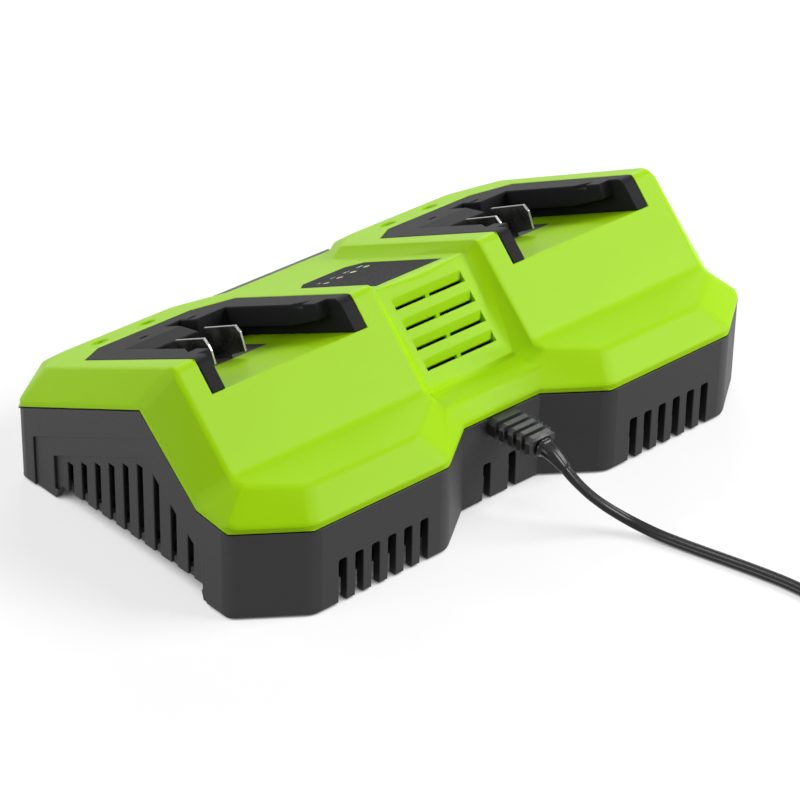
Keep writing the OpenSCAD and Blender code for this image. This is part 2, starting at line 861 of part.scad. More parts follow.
module mains_leads() {
  color("#23405e") from_front() for (s = [-1, 1])
    wire([
      [1.4 * s, 23.4, relief_z], [1.4 * s, 27 + 2.5 * s, relief_z],
      [-29 + 3.5 * s, 34 + 2.5 * s, relief_z - 3], [-30 + 3.5 * s, 60, board_top + 5],
      [-30 + 3.5 * s, board_front + 2, board_top + 5]
    ], 2);
}

module output_leads() {
  color("#a8332e") from_front() for (side = [-1, 1]) on_seat(side)
    for (x = [-11, 4])
      wire([[x, 53.5, -11], [x, 53.5, -15], [x, 74.5, -30.6]], 2.2);
}

// ---- feet, screws, plate ----

module rubber_feet() {
  color("#1c1c1c") from_front()
    for (p = foot_at) translate([p[0], p[1], 0]) cylinder(h = foot_seat, d = foot_diameter);
}

module case_screws() {
  color("#8f9296") from_front() for (p = case_holes) translate([p[0], p[1], 14]) {
    difference() {
      translate([0, 0, -2.4]) cylinder(h = 2.4, d = 6);
      cross_slot(-2.5);
    }
    translate([0, 0, -0.1]) cylinder(h = boss_joint - 14 + 10, d = case_screw);
  }
}

module cross_slot(z) {
  for (a = [0, 90]) rotate([0, 0, a]) translate([-1.6, -0.4, z]) cube([3.2, 0.8, 1.1]);
}

module board_screws() {
  color("#8f9296") from_front() {
    for (p = board_holes) translate([p[0], p[1], board_top]) {
      difference() {
        cylinder(h = 1.8, d = 5.2);
        cross_slot(0.8);
      }
      translate([0, 0, -8]) cylinder(h = 8.1, d = small_screw);
    }
    on_middle_slope() for (x = [-15, 15])
      translate([x, 41, -led_drop - board_thick]) {
        translate([0, 0, -1.8]) cylinder(h = 1.8, d = 5.2);
        translate([0, 0, -0.1]) cylinder(h = board_thick + 4, d = small_screw);
      }
  }
}

module frame_screws() {
  color("#8f9296") from_front() for (side = [-1, 1]) on_seat(side)
    for (x = [-36, 36]) for (v = [40, 70])
      translate([x, v, -floor_thick]) {
        translate([0, 0, -1.8]) cylinder(h = 1.8, d = 5.2);
        translate([0, 0, -0.1]) cylinder(h = floor_thick + 7, d = small_screw);
      }
}

module rating_plate() {
  color("#c9ccce") from_front()
    translate([-26.8, 28.2, floor_under]) cube([53.6, 19.6, 0.4]);
}

// ---- cord ----

module strain_relief() {
  color("#1b1b1c") from_front() difference() {
    union() {
      translate([0, 0, relief_z - relief_high / 2])
        linear_extrude(height = relief_high)
          polygon([
            [-8.5, middle_face], [-8.5, middle_face - 3], [-7, -relief_out],
            [7, -relief_out], [8.5, middle_face - 3], [8.5, middle_face]
          ]);
      translate([-6.5, middle_face - 1, relief_z - 3.6])
        cube([13, base_wall + 1.2, 7.2]);
      translate([-9, middle_face + base_wall + 0.1, relief_z - 6])
        cube([18, 2, 10]);
    }
    for (i = [0:3]) relief_groove(middle_face - 6.6 - 4.7 * i);
  }
}

module relief_groove(y) {
  difference() {
    translate([-12, y, relief_z - 10]) cube([24, 1.9, 20]);
    translate([-5.4, y - 1, relief_z - 2.9]) cube([10.8, 4, 5.8]);
  }
}

function unit(v) = v / norm(v);
function heading(p, i) = unit(p[min(i + 1, len(p) - 1)] - p[max(i - 1, 0)]);
// flat oval section, ten sides, square to the line except at the two ends
function cord_section(p, i, ends) = let(
  t = i == 0 || i == len(p) - 1 ? ends : heading(p, i),
  side = unit(cross(t, [0, 0, 1])), up = cross(side, t),
  flat = (cord_width - cord_thick) / 2
) [for (k = [0:9]) let(a = 36 * k + 18)
    p[i] + side * (cord_thick / 2 * cos(a) + (cos(a) > 0 ? flat : -flat))
      + up * cord_thick / 2 * sin(a)];

module swept_cord(p, ends) {
  rings = len(p);
  polyhedron(
    points = [for (i = [0:rings - 1]) each cord_section(p, i, ends)],
    faces = concat(
      [[for (k = [0:9]) k]],
      [for (i = [0:rings - 2]) for (k = [0:9]) let(n = (k + 1) % 10)
        [10 * i + k, 10 * i + 10 + k, 10 * i + n]],
      [for (i = [0:rings - 2]) for (k = [0:9]) let(n = (k + 1) % 10)
        [10 * i + n, 10 * i + 10 + k, 10 * i + 10 + n]],
      [[for (k = [9:-1:0]) 10 * (rings - 1) + k]]
    ));
}

module mains_cord() {
  color("#141415") from_front() {
    swept_cord(cord_points, [0, -1, 0]);
    swept_cord(tail_points, [1, 0, 0]);
  }
}

module cord_coil() {
  color("#141415") from_front() translate([coil_at[0], coil_at[1], 0])
    rotate_extrude() translate([coil_radius, 0])
      polygon([
        [-coil_half, 1.5], [1.5 - coil_half, 0], [coil_half - 1.5, 0], [coil_half, 1.5],
        [coil_half, coil_high - 1.5], [coil_half - 1.5, coil_high],
        [1.5 - coil_half, coil_high], [-coil_half, coil_high - 1.5]
      ]);
}

module cord_tie() {
  color("#262628") from_front() translate([coil_at[0], coil_at[1] + coil_radius, 0]) difference() {
    translate([-5, -coil_half - 1, 0]) cube([10, 2 * coil_half + 2, coil_high + 1]);
    translate([-6, -coil_half, -1]) cube([12, 2 * coil_half, coil_high + 1]);
  }
}

module plug_body() {
  color("#1b1b1c") from_front() translate([plug_at[0], plug_at[1], 0])
    linear_extrude(height = 13.7)
      polygon([
        [0, -4.5], [8, -5.5], [14, -8], [24, -17], [34, -17],
        [34, 17], [24, 17], [14, 8], [8, 5.5], [0, 4.5]
      ]);
}

module plug_pins() {
  color("#c2c4c6") from_front() for (s = [-1, 1])
    translate([plug_at[0] + 34, plug_at[1] + s * pin_spacing / 2, plug_at[2]])
      rotate([0, 90, 0]) cylinder(h = 19, d = pin_diameter);
}

base_housing();
top_cover();
rail_frame_left();
rail_frame_right();
contact_carrier_left();
contact_carrier_right();
contact_blades_left();
contact_blades_right();
indicator_label();
status_lenses();
led_board();
power_board();
transformer_core();
transformer_winding();
bulk_capacitor();
output_capacitors();
heat_sink();
power_transistors();
mains_choke();
mains_fuse();
mains_terminal();
fan_frame();
fan_rotor();
mains_leads();
output_leads();
rubber_feet();
case_screws();
board_screws();
frame_screws();
rating_plate();
strain_relief();
mains_cord();
cord_coil();
cord_tie();
plug_body();
plug_pins();
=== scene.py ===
# %% [markdown]
# # A two-bay battery charger
# This lesson dresses the measured model of a workshop battery charger: a green cover with
# flat facets, a black slotted base, two black rail frames and a flat mains cord. The measured
# parts come in first as a fixed frame. Every look is then added on top of them.

# %% Load the measured parts
import json
import math
import bmesh
import bpy
import numpy as np
from mathutils import Matrix, Vector

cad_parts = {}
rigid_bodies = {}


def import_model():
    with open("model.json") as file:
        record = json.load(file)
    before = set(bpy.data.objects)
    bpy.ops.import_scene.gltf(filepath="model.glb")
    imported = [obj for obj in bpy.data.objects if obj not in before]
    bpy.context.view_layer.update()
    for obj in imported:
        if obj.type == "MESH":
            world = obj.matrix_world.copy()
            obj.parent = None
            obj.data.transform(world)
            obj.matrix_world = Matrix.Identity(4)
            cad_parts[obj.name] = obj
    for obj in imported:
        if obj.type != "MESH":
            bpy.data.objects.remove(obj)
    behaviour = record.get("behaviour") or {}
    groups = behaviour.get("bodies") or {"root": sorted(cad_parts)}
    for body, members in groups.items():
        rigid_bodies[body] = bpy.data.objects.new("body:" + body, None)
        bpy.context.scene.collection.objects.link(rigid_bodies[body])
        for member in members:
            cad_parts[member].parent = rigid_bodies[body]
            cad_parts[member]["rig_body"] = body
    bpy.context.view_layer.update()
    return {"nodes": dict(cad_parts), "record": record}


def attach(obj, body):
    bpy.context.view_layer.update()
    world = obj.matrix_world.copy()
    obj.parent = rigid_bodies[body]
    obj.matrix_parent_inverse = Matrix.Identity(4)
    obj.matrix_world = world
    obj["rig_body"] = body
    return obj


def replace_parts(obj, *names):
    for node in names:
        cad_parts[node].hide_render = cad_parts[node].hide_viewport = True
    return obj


for spare in list(bpy.data.objects):
    bpy.data.objects.remove(spare)
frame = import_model()
NODES = frame["nodes"]
MM = 0.001  # shapes are worked out in millimetres, and the scene counts in metres

# %% [markdown]
# ## Camera
# A long lens from the front left, looking down at about thirty degrees, keeps the facets
# nearly parallel as in a catalogue picture. The lens follows from the focal length in pixels:
# the sensor is 36 mm wide and the picture 800 pixels wide. The turn is written as three
# angles: heading, downward tilt and a slight roll.

# %% Place the camera
PICTURE_PX, FOCAL_PX, SENSOR_MM = 800, 3231.95, 36
HEADING, TILT, ROLL = 42.23, 31.48, 1.01
EYE = Vector((-784.27, -872.18, 730.95)) * MM
NEAREST_M, FARTHEST_M = 0.05, 20


def camera_turn(heading, tilt, roll):
    """Columns are right, up and back: level axes first, then both turned by the roll."""
    h, t, r = map(math.radians, (heading, tilt, roll))
    ahead = Vector((math.sin(h) * math.cos(t), math.cos(h) * math.cos(t), -math.sin(t)))
    level = ahead.cross(Vector((0, 0, 1))).normalized()
    top = level.cross(ahead)
    right = level * math.cos(r) + top * math.sin(r)
    up = top * math.cos(r) - level * math.sin(r)
    return Matrix((right, up, -ahead)).transposed()


camera = bpy.data.objects.new("catalogue_camera", bpy.data.cameras.new("long_lens"))
camera.data.sensor_width = SENSOR_MM
camera.data.lens = FOCAL_PX / PICTURE_PX * SENSOR_MM
camera.data.clip_start, camera.data.clip_end = NEAREST_M, FARTHEST_M
camera.matrix_world = Matrix.Translation(EYE) @ camera_turn(HEADING, TILT, ROLL).to_4x4()
bpy.context.scene.collection.objects.link(camera)
bpy.context.scene.camera = camera
print("lens", round(camera.data.lens, 1), "mm")

# %% [markdown]
# ## Mains cord
# The cord is a flat two-core lead, 5.6 mm wide and 3.4 mm thick. A bevelled curve would make
# it round, so a section is carried along a path instead: at every path point a flat outline
# with a shallow groove down the middle is placed square to the direction of travel. The path
# leaves the strain relief, drops to the table, runs away and is wound into a coil whose turns
# lie one cord width apart in two layers. The visible stretch is smoothed from listed points.

# %% Lay out the path of the cord
CORD_WIDE, CORD_THICK = 5.6, 3.4
PATH_STEP = 1.5
ROUTE = np.array([
    (0, -94.7, 35.2), (0.1, -98.5, 34.6), (0.5, -102, 32.9), (1.4, -105.6, 29.8),
    (3.9, -109.6, 24.4), (8.4, -113.8, 17.8), (13.6, -118, 12), (18.7, -123.2, 7.3),
    (22.7, -129.6, 4.2), (26, -138.5, 2.5), (30.2, -152.5, 1.9), (34.2, -166.5, 1.8),
    (37.9, -180.5, 1.8), (41, -195, 1.8), (42.5, -210, 1.8), (43, -224, 1.8),
    (42.7, -238, 1.8), (42.1, -252, 1.8)])
COIL_AT, RING_RADII = np.array((84.0, -252.0)), np.array((41.9, 36.3, 30.7, 25.1))
COIL_TURNS, POINTS_PER_TURN = 7.25, 40
CLIMB_FROM, CLIMB_TURNS = 3.7, 0.4
LOW_LAYER_Z, LAYER_STEP = 1.72, 3.36
TAIL = np.array([(97, -293.9, 5.6), (104, -293.9, 6.3), (112, -293.9, 6.85)])


def smooth_line(points, step):
    """Catmull-Rom: each span is a cubic through its ends, with slopes taken from the
    neighbours, sampled so that points lie about one step apart."""
    p = np.vstack([2 * points[0] - points[1], points, 2 * points[-1] - points[-2]])
    out = []
    for a, b, c, d in zip(p[:-3], p[1:-2], p[2:-1], p[3:]):
        t = np.linspace(0, 1, max(2, int(np.linalg.norm(c - b) / step)), endpoint=False)[:, None]
        out.append(0.5 * (2 * b + (c - a) * t + (2 * a - 5 * b + 4 * c - d) * t ** 2
                          + (3 * b - 3 * c + d - a) * t ** 3))
    return np.vstack(out + [points[-1:]])


def eased(t):
    """A soft step from 0 to 1: t kept within 0 and 1, then t squared times (3 less 2 t)."""
    t = np.clip(t, 0, 1)
    return t * t * (3 - 2 * t)


def coil_turns(turns):
    """A flat spiral from the left of the coil: the radius eases from ring to ring in the last
    quarter of each turn, inwards on the lower layer and outwards on the upper one."""
    rings = np.concatenate([RING_RADII, RING_RADII[::-1], RING_RADII[:1]])
    t = np.linspace(0, turns, int(POINTS_PER_TURN * turns))
    whole = t.astype(int)
    ease = eased((t - whole - 0.75) / 0.25)
    radius = rings[whole] * (1 - ease) + rings[whole + 1] * ease
    angle = math.pi + t * 2 * math.pi
    return np.column_stack([COIL_AT[0] + radius * np.cos(angle),
                            COIL_AT[1] + radius * np.sin(angle),
                            LOW_LAYER_Z + LAYER_STEP * eased((t - CLIMB_FROM) / CLIMB_TURNS)])


CORD_PATH = np.vstack([smooth_line(ROUTE, PATH_STEP)[:-1], coil_turns(COIL_TURNS), TAIL])
CORD_LENGTH = np.linalg.norm(np.diff(CORD_PATH, axis=0), axis=1).sum()
print("cord:", len(CORD_PATH), "points,", round(CORD_LENGTH / 1000, 3), "m")

# %% [markdown]
# ## Meshes from points
# Every new piece is worked out as whole arrays of points in millimetres. One function turns
# points and faces into a mesh object and one numbers the faces of a grid. A third carries an
# outline along a path: at each path point it sets up two axes square to the travel, which
# takes any outline, where a curve's own bevel could twist a flat one.

# %% Helpers that put a mesh into the scene
def link_mesh(name, verts_mm, faces):
    """A mesh object from points in millimetres, shaded smooth."""
    mesh = bpy.data.meshes.new(name)
    mesh.from_pydata((np.asarray(verts_mm) * MM).tolist(), [], faces)
    mesh.shade_smooth()
    obj = bpy.data.objects.new(name, mesh)
    bpy.context.scene.collection.objects.link(obj)
    return obj


def new_piece(name, verts_mm, faces):
    """A mesh object that rides on the housing."""
    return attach(link_mesh(name, verts_mm, faces), "housing")


def grid_faces(rows, cols):
    """Quads between neighbouring rows of a grid whose columns close on themselves."""
    i, j = np.meshgrid(np.arange(rows - 1), np.arange(cols), indexing="ij")
    a, b = i * cols + j, i * cols + (j + 1) % cols
    return np.stack([a, b, b + cols, a + cols], -1).reshape(-1, 4).tolist()


def swept(path, outline, first=None, last=None):
    """Each outline point (across, up) is set at every path point on two axes square to the
    travel: across is level, up completes the pair. Returns points and faces with end caps."""
    ahead = np.gradient(path, axis=0)
    if first is not None:
        ahead[0] = first
    if last is not None:
        ahead[-1] = last
    ahead /= np.linalg.norm(ahead, axis=1)[:, None]
    side = np.cross(ahead, (0, 0, 1.0))
    side /= np.linalg.norm(side, axis=1)[:, None]
    up = np.cross(side, ahead)
    across = side[:, None] * outline[None, :, :1]
    rings = path[:, None] + across + up[:, None] * outline[None, :, 1:]
    rows, cols = len(path), len(outline)
    caps = [list(range(cols))[::-1], list(range((rows - 1) * cols, rows * cols))]
    return rings.reshape(-1, 3), grid_faces(rows, cols) + caps


print("a grid of 3 rows and 4 columns has", len(grid_faces(3, 4)), "faces")

# %% [markdown]
# ## The lead itself
# Two insulated cores lie side by side under one sheath, so the outline is the outer edge of
# two overlapping circles. In polar form each of its points lies at the distance where a ray
# from the middle leaves the circle on its own side. The mesh is one grid: path points along,
# outline points around.

# %% Make the cord
OUTLINE_POINTS = 28
angle = np.linspace(0, 2 * math.pi, OUTLINE_POINTS, endpoint=False)
core = CORD_THICK / 2
reach = (CORD_WIDE - CORD_THICK) / 2
polar = reach * abs(np.cos(angle)) + np.sqrt(core ** 2 - (reach * np.sin(angle)) ** 2)
CORD_OUTLINE = np.column_stack([polar * np.cos(angle), polar * np.sin(angle)])
cord = new_piece("flat_mains_cord", *swept(CORD_PATH, CORD_OUTLINE, (0, -1, 0), (1, 0, 0)))
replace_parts(cord, "mains_cord", "cord_coil")
print("cord mesh:", len(cord.data.vertices), "points")

# %% [markdown]
# ## Colours and nodes
# Colours are noted as sRGB hex values, the way a picture editor shows them, and one function
# turns them to the linear values that shaders count in. One more function adds any node: a
# key that is a socket of the node is set or linked there, any other key is a node setting.

# %% Colour and node helpers
def linear(hex_colour):
    """sRGB to linear: up to 0.04045 divide by 12.92, above it the 2.4 power curve."""
    c = np.array([int(hex_colour[i:i + 2], 16) for i in (1, 3, 5)]) / 255
    return (*np.where(c <= 0.04045, c / 12.92, ((c + 0.055) / 1.055) ** 2.4).tolist(), 1.0)


def add(tree, kind, facts=()):
    """Adds a node. Settings come first, because some of them change the sockets."""
    node = tree.nodes.new(kind)
    facts = dict(facts)
    sockets = {k: v for k, v in facts.items() if isinstance(k, int) or k in node.inputs}
    for key in facts.keys() - sockets.keys():
        setattr(node, key, facts[key])
    for key, value in sockets.items():
        if isinstance(value, bpy.types.NodeSocket):
            tree.links.new(value, node.inputs[key])
        else:
            node.inputs[key].default_value = value
    return node


def new_material(name):
    """An empty node tree with its output node, and object coordinates in metres."""
    material = bpy.data.materials.new(name)
    material.use_nodes = True
    material.node_tree.nodes.clear()
    tree = material.node_tree
    out = add(tree, "ShaderNodeOutputMaterial")
    place = add(tree, "ShaderNodeTexCoord").outputs["Object"]
    return material, tree, out, place


COVER_SHADE = "#A6DC02"
print("cover green in linear light:", [round(c, 3) for c in linear(COVER_SHADE)])

# %% [markdown]
# ## Floor and backdrop
# A catalogue table is a white sweep under large diffusers. Here the floor is one plain sheet
# of paper, in a light grey that takes the shadow of the charger. For camera, gloss and glass
# rays only, it also glows at about two thirds of full white, so the open floor reads as white
# without more light on the object. Above it a white world does the same for those rays, and
# lights nothing. Near and under the charger the floor's glow fades where the charger hides
# the sky: painted shade.

# %% Make the floor and the backdrop
WHITE = (1, 1, 1, 1)
FLOOR_HALF, FLOOR_Z = 4000, -0.25  # a quarter of a millimetre under the parts that touch down
FLOOR_SHADE, FLOOR_GLOW = "#A0A0A0", 0.69
RISE_FROM_M, RISE_TO_M = 0.8, 1.6
COVER_WITHIN_M = 0.04
SKY_NONE, SKY_FULL = 0.1, 0.4


def mirrored(tree):
    """1 for a ray from the camera, from a gloss or through glass; 0 for one that only lights."""
    rays = add(tree, "ShaderNodeLightPath").outputs
    seen = add(tree, "ShaderNodeMath", {"operation": "MAXIMUM", 0: rays["Is Camera Ray"],
                                        1: rays["Is Glossy Ray"]})
    return add(tree, "ShaderNodeMath", {"operation": "MAXIMUM", 0: seen.outputs[0],
                                        1: rays["Is Transmission Ray"]}).outputs[0]


def paper(name, shade, glow):
    """Diffuse paper plus a glow that only camera, glossy and transmission rays see. The glow
    rises to full white between 0.8 and 1.6 m from the middle, where the diffusers no longer
    reach. It drops where things within 40 mm leave less than four tenths of the sky open, to
    nothing at one tenth: a painted contact shadow, so that the floor stays dark under the base
    and behind its slots."""
    material, tree, out, place = new_material(name)
    away = add(tree, "ShaderNodeVectorMath", {"operation": "LENGTH", 0: place})
    far = add(tree, "ShaderNodeMapRange", {
        "Value": away.outputs["Value"], "From Min": RISE_FROM_M, "From Max": RISE_TO_M,
        "To Min": glow, "To Max": 1.0})
    # painted shade: the glow fades where the charger hides the sky within 40 mm
    open_sky = add(tree, "ShaderNodeAmbientOcclusion", {"samples": 8, "Distance": COVER_WITHIN_M})
    clear = add(tree, "ShaderNodeMapRange", {"Value": open_sky.outputs["AO"],
                                             "From Min": SKY_NONE, "From Max": SKY_FULL})
    part = add(tree, "ShaderNodeMath", {"operation": "MULTIPLY", 0: far.outputs[0],
                                        1: clear.outputs[0]})
    scaled = add(tree, "ShaderNodeMath", {"operation": "MULTIPLY", 0: mirrored(tree),
                                          1: part.outputs[0]})
    light = add(tree, "ShaderNodeEmission", {"Color": WHITE, "Strength": scaled.outputs[0]})
    matt = add(tree, "ShaderNodeBsdfDiffuse", {"Color": linear(shade)})
    both = add(tree, "ShaderNodeAddShader", {0: light.outputs[0], 1: matt.outputs[0]})
    tree.links.new(both.outputs[0], out.inputs["Surface"])
    return material


sheet = np.array([(-1, -1), (1, -1), (1, 1), (-1, 1)]) * FLOOR_HALF
floor = link_mesh("paper_floor", np.column_stack([sheet, np.full(4, FLOOR_Z)]), [(0, 1, 2, 3)])
floor.data.materials.append(paper("white_paper_sweep", FLOOR_SHADE, FLOOR_GLOW))

world = bpy.data.worlds.new("white_studio")
world.use_nodes = True
bpy.context.scene.world = world
world.node_tree.nodes.clear()
backdrop = add(world.node_tree, "ShaderNodeBackground", {"Color": WHITE,
                                                         "Strength": mirrored(world.node_tree)})
add(world.node_tree, "ShaderNodeOutputWorld", {"Surface": backdrop.outputs[0]})
print("floor:", 2 * FLOOR_HALF * MM, "m square, glow", FLOOR_GLOW)

# %% [markdown]
# ## Light
# Soft shadows need large lamps. Square area lamps stand in for the diffusers of a studio: a
# strong one at the front right, and weaker ones above, behind, at the left and low in front.
# They are set so that a plain colour renders about as it is written.

# %% Hang the diffusers
AIM = Vector((0, 0, 0.03))
# name, place in metres, side in metres, watts
DIFFUSERS = (
    ("key_diffuser", (1.5, -1.37, 1.63), 1.4, 65),
    ("overhead_diffuser", (0.0, 0.0, 1.5), 1.2, 2),
    ("back_right_diffuser", (1.0, 1.1, 0.9), 0.7, 9),
    ("back_left_diffuser", (-1.0, 1.2, 0.9), 1.0, 5),
    ("left_diffuser", (-1.5, 0.3, 0.6), 1.0, 11),
    ("low_front_diffuser", (0.5, -1.5, 0.25), 0.8, 3),
)


def softbox(name, place_m, size_m, watts):
    """A square diffuser that faces the middle of the charger."""
    lamp = bpy.data.lights.new(name, "AREA")
    lamp.size, lamp.energy = size_m, watts
    obj = bpy.data.objects.new(name, lamp)
    obj.location = place_m
    obj.rotation_euler = (AIM - obj.location).to_track_quat("-Z", "Y").to_euler()
    bpy.context.scene.collection.objects.link(obj)


for diffuser in DIFFUSERS:
    softbox(*diffuser)
bpy.context.scene.view_settings.view_transform = "Standard"
print("diffusers:", len(DIFFUSERS), "with", sum(d[3] for d in DIFFUSERS), "W in all")

# %% [markdown]
# ## Moulded plastic
# Cover, base, frames, fan and plug are all injection moulded. Such a skin is even in colour,
# with a fine spark-eroded grain from the mould that breaks up the gloss. The grain of a real
# mould is about 0.2 mm; it is drawn near 0.5 mm, because a finer one would vanish between
# the pixels. A slow cloud, centimetres wide, lets the colour drift between two near shades, as
# the flow of the melt does. A shine of 0.5 is the plain reflection of a plastic; lower values
# match the parts that reflect less.

# %% Plastic material
CLOUD_MM = 35.7
NOISE_LOW, NOISE_HIGH = 0.3, 0.7  # nearly all values of a noise texture lie between these


def moulded(name, colour, second, rough, grain_mm, relief_mm, shine=0.5):
    """Base colour drifts between two shades; fine noise drives roughness and bump."""
    material, tree, out, place = new_material(name)
    cloud = add(tree, "ShaderNodeTexNoise", {"Vector": place, "Scale": 1000 / CLOUD_MM,
                                             "Detail": 2.0})
    tint = add(tree, "ShaderNodeMix", {"data_type": "RGBA", 0: cloud.outputs["Fac"],
                                       6: linear(colour), 7: linear(second)})
    grain = add(tree, "ShaderNodeTexNoise", {"Vector": place, "Scale": 1000 / grain_mm,
                                             "Detail": 2.0, "Roughness": 0.6})
    gloss = add(tree, "ShaderNodeMapRange", {
        "Value": grain.outputs["Fac"], "From Min": NOISE_LOW, "From Max": NOISE_HIGH,
        "To Min": rough - 0.05, "To Max": rough + 0.06})
    bump = add(tree, "ShaderNodeBump", {"Height": grain.outputs["Fac"], "Strength": 0.6,
                                        "Distance": relief_mm * MM})
    skin = add(tree, "ShaderNodeBsdfPrincipled", {
        "Base Color": tint.outputs[2], "Roughness": gloss.outputs[0], "IOR": 1.5,
        "Normal": bump.outputs[0], "Specular IOR Level": shine})
    tree.links.new(skin.outputs[0], out.inputs["Surface"])
    return material


# glass-filled nylon, spark-eroded mould: even, satin, a little chalky at a glance
COVER_GREEN = moulded("green_nylon_spark_grain", COVER_SHADE, "#A2D802", 0.45, 0.55, 0.03, 0.15)
# black ABS with a coarser grain: dull, dark grey under soft light
BASE_BLACK = moulded("black_abs_coarse_grain", "#282829", "#252526", 0.5, 0.6, 0.04, 0.4)
# black nylon of the sliding rails, from a finely grained mould: darker than the base and dull
RAIL_BLACK = moulded("black_nylon_rail", "#1B1B1D", "#18181A", 0.55, 0.45, 0.025, 0.08)
# lead sheath and plug: soft PVC, glossy with a faint drag texture
CORD_BLACK = moulded("black_pvc_sheath", "#0E0E0F", "#111112", 0.22, 0.7, 0.012, 0.3)
# the relief is the same PVC off an etched mould: matt enough to show each rib
RELIEF_BLACK = moulded("black_pvc_etched", "#232324", "#2A2A2B", 0.46, 0.8, 0.06)
cord.data.materials.append(CORD_BLACK)
PLASTICS = (COVER_GREEN, BASE_BLACK, RAIL_BLACK, CORD_BLACK, RELIEF_BLACK)
print("plastics:", [m.name for m in PLASTICS])

# %% [markdown]
# ## Rounding the measured shells
# The measured shells have sharp edges, and a moulded part has none: every fold carries a
# radius that catches the light. A bevel of one width would close the narrow slots, or leave
# the broad folds sharp. So each shell is copied, its loose triangles are merged, triangles of
# one plane become one face, and each edge then gets a bevel width of its own.

# %% Copy a shell
MERGE_M = 2e-6
FLAT_DEGREES = 0.6


def copied(name, node, cuts_x=()):
    """The part's points merged where they touch, and triangles that share a plane joined.
    A cut is a kept edge line in the plane x = that many mm. It runs through the openings of a
    face, so that no stray edge has to join an opening to a corner that gets a bevel."""
    mesh = NODES[node].data.copy()
    mesh.name = name
    mesh.materials.clear()
    work = bmesh.new()
    work.from_mesh(mesh)
    bmesh.ops.remove_doubles(work, verts=work.verts, dist=MERGE_M)
    for x in cuts_x:
        parts = work.verts[:] + work.edges[:] + work.faces[:]
        cut = bmesh.ops.bisect_plane(work, geom=parts, dist=MERGE_M, plane_co=(x * MM, 0, 0),
                                     plane_no=(1, 0, 0))
        for piece in cut["geom_cut"]:
            if isinstance(piece, bmesh.types.BMEdge):
                piece.seam = True
    bmesh.ops.dissolve_limit(work, angle_limit=math.radians(FLAT_DEGREES), verts=work.verts,
                             edges=work.edges, delimit={"SEAM"})
    work.to_mesh(mesh)
    work.free()
    obj = bpy.data.objects.new(name, mesh)
    bpy.context.scene.collection.objects.link(obj)
    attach(obj, NODES[node]["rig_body"])
    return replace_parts(obj, node)


print("cover as measured:", len(NODES["top_cover"].data.polygons), "triangles")

# %% [markdown]
# ## Reading the edges
# How wide a bevel may be depends on how far the two faces of an edge turn, on whether it is an
# outer or an inner corner, and on how narrow the surfaces beside it are. All of it is read
# from the mesh as whole arrays, without a loop over the edges.

# %% Measure the edges of a shell
ONE_SURFACE_DEGREES = 20
MOST_SPREADS = 200


def read(items, name, size=1, kind=float):
    """One property of all points, edges, corners or faces, with size numbers for each."""
    values = np.empty(len(items) * size, kind)
    items.foreach_get(name, values)
    return values.reshape(-1, size) if size > 1 else values


def edge_facts(mesh):
    """Ends of each edge in mm, the angle between its two faces (above 0 at an outer corner,
    below 0 at an inner one), and the width of the narrower surface beside it. A surface is all
    faces that meet at less than 20 degrees; its width is twice its area over its outline. The
    sign is that of (normal a x normal b) . (the edge's direction as it runs in face a)."""
    pair = read(mesh.edges, "vertices", 2, int)
    ends = (read(mesh.vertices, "co", 3) / MM)[pair]
    of_edge = read(mesh.loops, "edge_index", kind=int)
    start = read(mesh.loops, "vertex_index", kind=int)
    sides = read(mesh.polygons, "loop_total", kind=int)
    area = read(mesh.polygons, "area")
    n = read(mesh.polygons, "normal", 3)
    face = np.repeat(np.arange(len(sides)), sides)
    order = np.argsort(of_edge, kind="stable")
    first = np.searchsorted(of_edge[order], np.arange(len(ends)))
    a, b = face[order][first], face[order][np.minimum(first + 1, len(order) - 1)]
    turn = np.degrees(np.arccos(np.clip((n[a] * n[b]).sum(1), -1, 1)))
    smooth = turn < ONE_SURFACE_DEGREES
    ahead = np.where(start[order][first] == pair[:, 0], 1, -1)
    run = (ends[:, 1] - ends[:, 0]) * ahead[:, None]
    turn = np.where((np.cross(n[a], n[b]) * run).sum(1) < 0, -turn, turn)
    # each face takes the lowest label among its smooth neighbours until no label changes
    label = np.arange(len(sides))
    for _ in range(MOST_SPREADS):
        low = np.minimum(label[a[smooth]], label[b[smooth]])
        before = label.copy()
        np.minimum.at(label, a[smooth], low)
        np.minimum.at(label, b[smooth], low)
        if (before == label).all():
            break
    long = np.where(smooth, 0, np.linalg.norm(ends[:, 0] - ends[:, 1], axis=1))
    outline = np.bincount(label[a], long, len(sides)) + np.bincount(label[b], long, len(sides))
    width = 2 * np.bincount(label, area, len(sides)) / MM ** 2 / np.maximum(outline, 1e-6)
    return ends, turn, np.minimum(width[label[a]], width[label[b]])


print("corner points of the measured cover:", len(read(NODES["top_cover"].data.vertices, "co", 3)))

# %% [markdown]
# ## One bevel for every edge
# The width is written as a weight on each edge, so that one Bevel modifier serves the whole
# shell. The long folds are found by their known lines; every other outer edge gets a small
# radius, limited by how narrow the surfaces beside it are. Weighted normals then keep the flat
# facets flat up to the start of each round.

# %% Soften a shell
LEAST_TURN, NARROW_SHARE = 30, 0.35
ON_LINE_MM, PAST_END_MM, CREASE_TURN = 0.15, 0.2, 4
SHARP_DEGREES, FACE_WEIGHT = 24, 80


